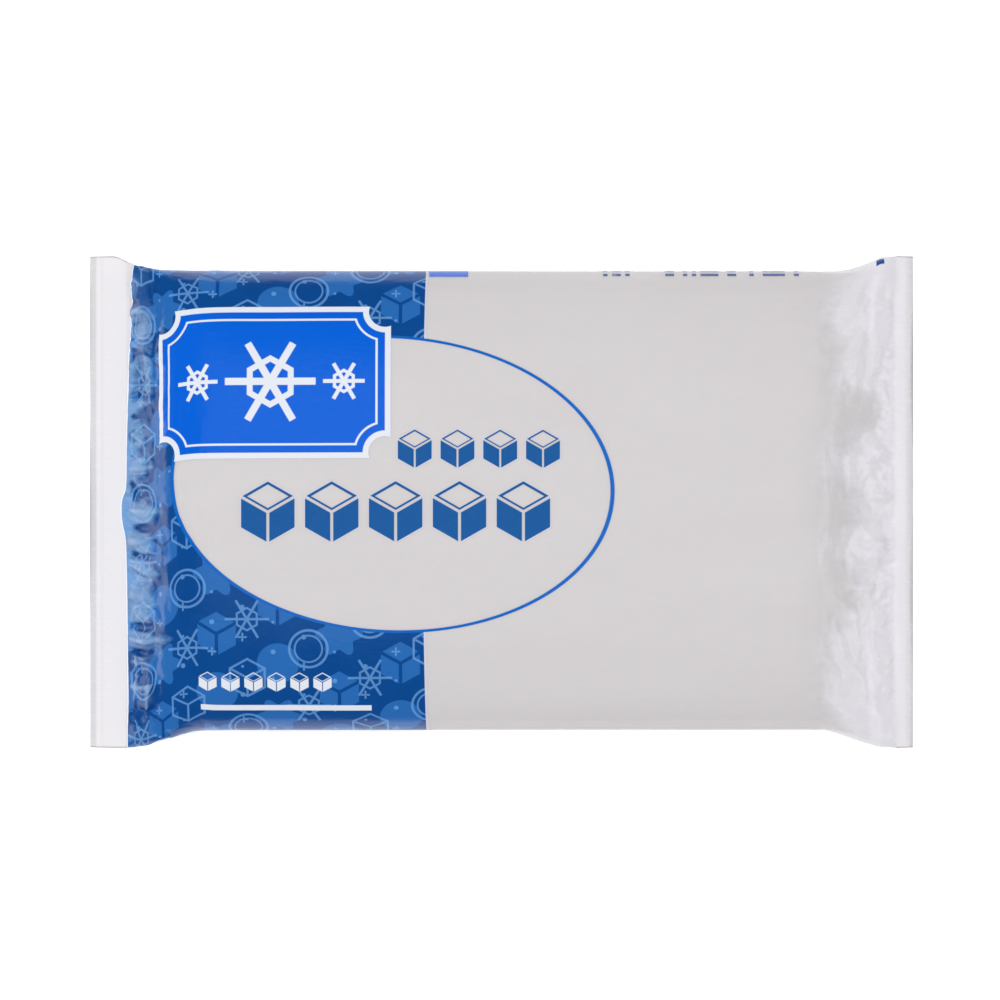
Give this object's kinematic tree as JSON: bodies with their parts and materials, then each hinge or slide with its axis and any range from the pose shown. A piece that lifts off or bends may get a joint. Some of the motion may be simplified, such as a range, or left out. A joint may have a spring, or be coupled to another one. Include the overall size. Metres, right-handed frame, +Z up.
{
  "type": "bag of sugar",
  "caption": "Full plastic film bag of white sugar lying on its back, with a flat sealed fin across each end and short gathers in the film beside the seals.",
  "frame": {"origin": "middle of the bag's outline, on the surface that it lies on", "axes": "+X along the bag, from the printed end to the plain end; +Y across it; +Z up through the shown side"},
  "size_m": [0.35, 0.2088, 0.046],
  "materials": {
    "film": "milky polyethylene film over white sugar, one end printed blue"
  },
  "bodies": {
    "root": {"sugar_bag": "film"}
  },
  "joints": []
}
